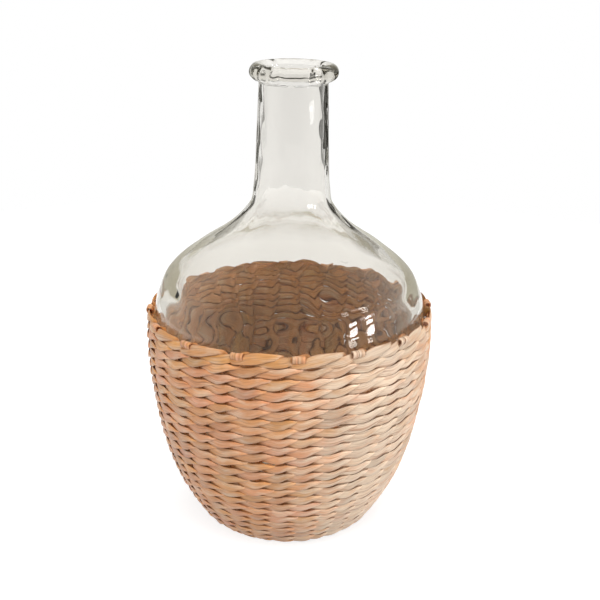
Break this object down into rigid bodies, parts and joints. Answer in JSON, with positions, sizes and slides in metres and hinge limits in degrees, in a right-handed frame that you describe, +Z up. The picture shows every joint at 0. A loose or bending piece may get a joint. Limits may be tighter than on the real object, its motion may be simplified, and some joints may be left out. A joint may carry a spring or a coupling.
{
  "type": "basket-wrapped bottle vase",
  "caption": "Clear glass bottle vase with a long neck and rolled lip, its body held in a twined basket of flat leaf strands with a folded rim.",
  "frame": {"origin": "centre of the basket's flat underside, on the surface that the vase stands on", "axes": "+Z up along the bottle's axis; -Y towards the camera of the picture, +X to its right"},
  "size_m": [0.2506, 0.2506, 0.4],
  "materials": {
    "recycled_glass": "clear, glossy, uneven recycled glass with a faint green tint",
    "leaf_strand": "dried flat leaf strand, matt with a slight waxy sheen",
    "leaf_strand_shaded": "dried leaf strand, matt"
  },
  "bodies": {
    "root": {"glass_bottle": "recycled_glass", "twined_wall": "leaf_strand", "basket_base": "leaf_strand_shaded", "stake_01": "leaf_strand_shaded", "stake_02": "leaf_strand_shaded", "stake_03": "leaf_strand_shaded", "stake_04": "leaf_strand_shaded", "stake_05": "leaf_strand_shaded", "stake_06": "leaf_strand_shaded", "stake_07": "leaf_strand_shaded", "stake_08": "leaf_strand_shaded", "stake_09": "leaf_strand_shaded", "stake_10": "leaf_strand_shaded", "stake_11": "leaf_strand_shaded", "stake_12": "leaf_strand_shaded", "stake_13": "leaf_strand_shaded", "stake_14": "leaf_strand_shaded", "stake_15": "leaf_strand_shaded", "stake_16": "leaf_strand_shaded", "stake_17": "leaf_strand_shaded", "stake_18": "leaf_strand_shaded", "stake_19": "leaf_strand_shaded", "stake_20": "leaf_strand_shaded", "stake_21": "leaf_strand_shaded", "stake_22": "leaf_strand_shaded", "stake_23": "leaf_strand_shaded", "stake_24": "leaf_strand_shaded", "stake_25": "leaf_strand_shaded", "stake_26": "leaf_strand_shaded", "stake_27": "leaf_strand_shaded", "stake_28": "leaf_strand_shaded", "stake_29": "leaf_strand_shaded", "stake_30": "leaf_strand_shaded", "stake_31": "leaf_strand_shaded", "stake_32": "leaf_strand_shaded"}
  },
  "joints": []
}
